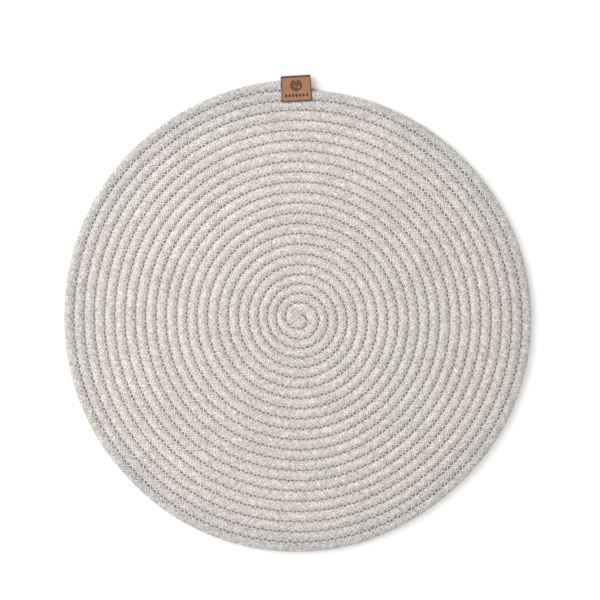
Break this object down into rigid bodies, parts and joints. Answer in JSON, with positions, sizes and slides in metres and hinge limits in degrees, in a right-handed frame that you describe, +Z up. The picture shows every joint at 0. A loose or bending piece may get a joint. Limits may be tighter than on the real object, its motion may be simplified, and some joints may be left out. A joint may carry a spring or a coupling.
{
  "type": "chair seat pad",
  "caption": "Round flat seat pad of one braided cotton cord wound in a spiral and sewn turn to turn, with a small folded leather tag on its edge.",
  "frame": {"origin": "middle of the coil, where the cord starts, on the flat of the underside", "axes": "+Z up from the underside, through the thickness; +Y from the middle of the coil towards the leather tag"},
  "size_m": [0.4002, 0.4089, 0.0088],
  "materials": {
    "cotton_braid": "undyed greige cotton, round braid with a fine chevron of twisted yarns",
    "filler_yarn": "loose straight cotton yarns",
    "sewing_thread": "off-white polyester sewing thread, slightly glossy",
    "tag_leather": "smooth tan leather with dark burnt edges",
    "adhesive_film": "thin clear-yellow contact adhesive"
  },
  "bodies": {
    "root": {"cord_cover": "cotton_braid", "cord_core": "filler_yarn", "needle_thread": "sewing_thread", "bobbin_thread": "sewing_thread", "centre_tack": "sewing_thread", "end_tack": "sewing_thread", "leather_tag": "tag_leather", "tag_adhesive": "adhesive_film"}
  },
  "joints": []
}
